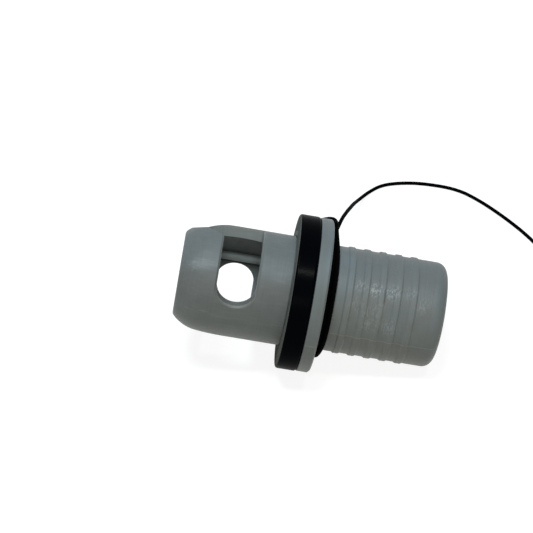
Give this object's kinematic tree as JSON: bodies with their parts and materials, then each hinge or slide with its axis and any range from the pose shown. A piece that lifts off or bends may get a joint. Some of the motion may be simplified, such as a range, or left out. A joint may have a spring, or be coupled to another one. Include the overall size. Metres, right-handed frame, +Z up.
{
  "type": "inflatable boat valve adapter",
  "caption": "Moulded hose adapter for an inflatable boat's valve: bayonet nose with windows, flange with a rubber gasket, ridged hose spigot and a thin retaining cord.",
  "frame": {"origin": "on the table, under the middle of the adapter as it lies (cord apart)", "axes": "+X runs from the nose towards the hose spigot, +Z is up, and the picture looks from -Y; the adapter's own axis dips 12.4 degrees towards +X"},
  "size_m": [0.0888, 0.074, 0.0325],
  "materials": {
    "grey_moulding": "satin, with fine turning marks and a faint parting line",
    "gasket_rubber": "smooth and slightly shiny",
    "black_cord": "fine polyester braid",
    "tie_band": "matt"
  },
  "bodies": {
    "root": {"adapter_body": "grey_moulding", "gasket_ring": "gasket_rubber", "neck_loop": "black_cord", "neck_knot": "black_cord", "tether_cord": "black_cord", "tether_coil": "black_cord", "coil_tie": "tie_band", "end_knot": "black_cord"}
  },
  "joints": []
}
